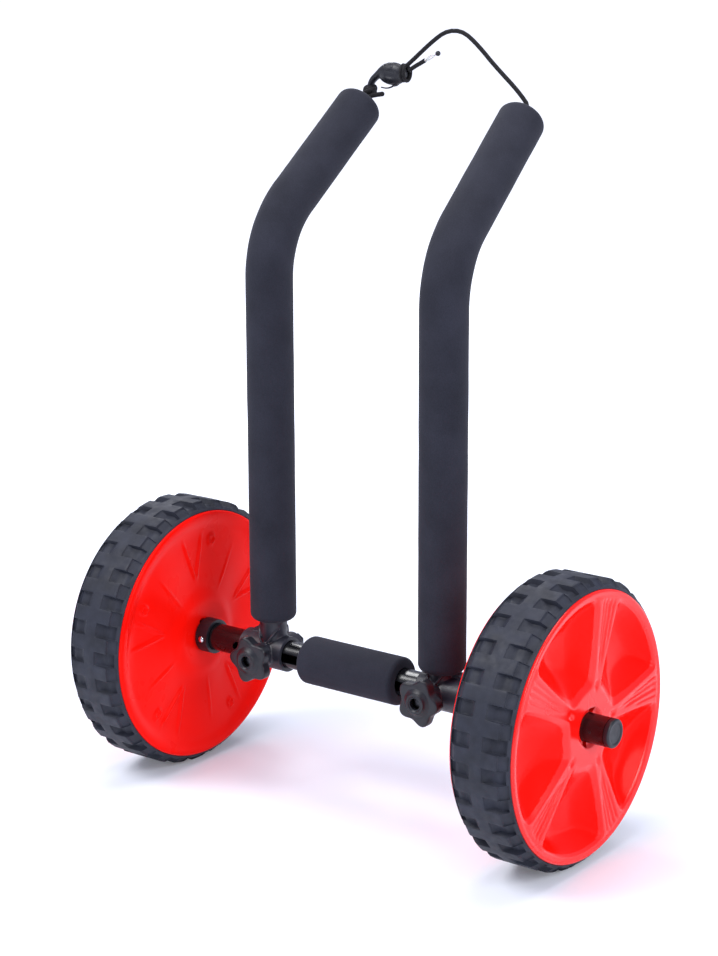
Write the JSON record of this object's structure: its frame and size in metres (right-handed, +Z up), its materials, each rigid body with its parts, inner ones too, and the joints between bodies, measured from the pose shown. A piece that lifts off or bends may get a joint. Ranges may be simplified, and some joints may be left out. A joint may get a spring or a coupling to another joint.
{
  "type": "surfboard cart",
  "caption": "Two-wheeled hand cart for a surfboard: axle with padded middle, two padded bent arms that slide on it, and a bungee cord with a snap hook across their tips.",
  "frame": {"origin": "middle of the footprint, on the floor: bottom centre of the box round the cart without its cord", "axes": "+Z up; +X along the axle to the wheel that is nearer in the picture; +Y the way the arms bend; the clamp knobs face -Y"},
  "size_m": [0.539, 0.2826, 0.6897],
  "materials": {
    "tyre_rubber": "moulded rubber tread, matt",
    "red_plastic": "blow-moulded polyethylene, glossy red",
    "black_plastic": "moulded glass-filled nylon, satin",
    "black_tube": "black powder coat, satin",
    "black_foam": "closed-cell foam sleeve, matt",
    "zinc_steel": "zinc-plated, bright",
    "black_steel": "black zinc, satin",
    "brass": "turned",
    "black_cord": "braided sheath over rubber",
    "clear_core": "bare whitish rubber strands"
  },
  "bodies": {
    "root": {"axle_tube": "black_tube", "left_end_cap": "black_plastic", "right_end_cap": "black_plastic", "left_stop_collar": "black_plastic", "right_stop_collar": "black_plastic", "axle_foam": "black_foam", "left_inner_spring": "zinc_steel", "right_inner_spring": "zinc_steel", "left_outer_spring": "zinc_steel", "right_outer_spring": "zinc_steel"},
    "left_wheel": {"left_rim": "red_plastic", "left_tyre": "tyre_rubber"},
    "right_wheel": {"right_rim": "red_plastic", "right_tyre": "tyre_rubber"},
    "left_arm": {"left_clamp": "black_plastic", "left_clamp_bolt": "black_steel", "left_back_washer": "black_steel", "left_arm_tube": "black_tube", "left_arm_foam": "black_foam", "left_arm_plug": "black_plastic", "left_arm_pin": "zinc_steel", "left_stop_knot": "black_cord", "left_loop": "black_cord", "hook_body": "black_plastic", "bungee_left": "black_cord", "bungee_tail": "black_cord", "tail_core": "clear_core", "tail_bead": "black_plastic"},
    "right_arm": {"right_clamp": "black_plastic", "right_clamp_bolt": "black_steel", "right_back_washer": "black_steel", "right_arm_tube": "black_tube", "right_arm_foam": "black_foam", "right_arm_plug": "black_plastic", "right_arm_pin": "zinc_steel", "right_stop_knot": "black_cord", "bungee_right": "black_cord"},
    "left_knob_washer": {"left_front_washer": "black_steel"},
    "right_knob_washer": {"right_front_washer": "black_steel"},
    "left_knob": {"left_knob": "black_plastic", "left_knob_insert": "brass"},
    "right_knob": {"right_knob": "black_plastic", "right_knob_insert": "brass"},
    "left_inner_button": {"left_inner_button": "zinc_steel"},
    "right_inner_button": {"right_inner_button": "zinc_steel"},
    "left_outer_button": {"left_outer_button": "zinc_steel"},
    "right_outer_button": {"right_outer_button": "zinc_steel"},
    "hook_gate": {"hook_gate": "black_plastic"}
  },
  "joints": [
    {"name": "left_wheel_turn", "type": "hinge", "parent": "root", "child": "left_wheel", "pos_m": [-0.2131, -0.01158, 0.12683], "axis": [1, 0, 0], "continuous": true},
    {"name": "left_arm_slide", "type": "slide", "parent": "root", "child": "left_arm", "axis": [-1, 0, 0], "range_m": [-0.02, 0.035], "deforming": ["bungee_left"]},
    {"name": "left_knob_travel", "type": "slide", "parent": "left_arm", "child": "left_knob_washer", "axis": [0, -1, 0], "range_m": [0, 0.0025]},
    {"name": "left_knob_turn", "type": "hinge", "parent": "left_knob_washer", "child": "left_knob", "pos_m": [-0.098, -0.03978, 0.12683], "axis": [0, -1, 0], "range_deg": [0, 720]},
    {"name": "left_inner_press", "type": "slide", "parent": "root", "child": "left_inner_button", "axis": [0, 1, 0], "range_m": [0, 0.006], "stiffness_N_per_m": 800, "springref_m": -0.002, "deforming": ["left_inner_spring"]},
    {"name": "left_outer_press", "type": "slide", "parent": "root", "child": "left_outer_button", "axis": [0, -1, 0], "range_m": [0, 0.005], "stiffness_N_per_m": 800, "springref_m": -0.002, "deforming": ["left_outer_spring"]},
    {"name": "right_wheel_turn", "type": "hinge", "parent": "root", "child": "right_wheel", "pos_m": [0.2131, -0.01158, 0.12683], "axis": [1, 0, 0], "continuous": true},
    {"name": "right_arm_slide", "type": "slide", "parent": "root", "child": "right_arm", "axis": [1, 0, 0], "range_m": [-0.02, 0.04], "deforming": ["bungee_right"]},
    {"name": "right_knob_travel", "type": "slide", "parent": "right_arm", "child": "right_knob_washer", "axis": [0, -1, 0], "range_m": [0, 0.0025]},
    {"name": "right_knob_turn", "type": "hinge", "parent": "right_knob_washer", "child": "right_knob", "pos_m": [0.092, -0.03978, 0.12683], "axis": [0, -1, 0], "range_deg": [0, 720]},
    {"name": "right_inner_press", "type": "slide", "parent": "root", "child": "right_inner_button", "axis": [0, 1, 0], "range_m": [0, 0.006], "stiffness_N_per_m": 800, "springref_m": -0.002, "deforming": ["right_inner_spring"]},
    {"name": "right_outer_press", "type": "slide", "parent": "root", "child": "right_outer_button", "axis": [0, -1, 0], "range_m": [0, 0.005], "stiffness_N_per_m": 800, "springref_m": -0.002, "deforming": ["right_outer_spring"]},
    {"name": "hook_gate_push", "type": "hinge", "parent": "left_arm", "child": "hook_gate", "pos_m": [-0.0655, 0.13442, 0.63583], "axis": [0, 1, 0], "range_deg": [0, 15], "stiffness_Nm_per_rad": 0.002}
  ],
  "couplings": [
    {"joint": "left_knob_turn", "follows": "left_knob_travel", "rad_per_m": 5026.5},
    {"joint": "right_knob_turn", "follows": "right_knob_travel", "rad_per_m": 5026.5}
  ]
}
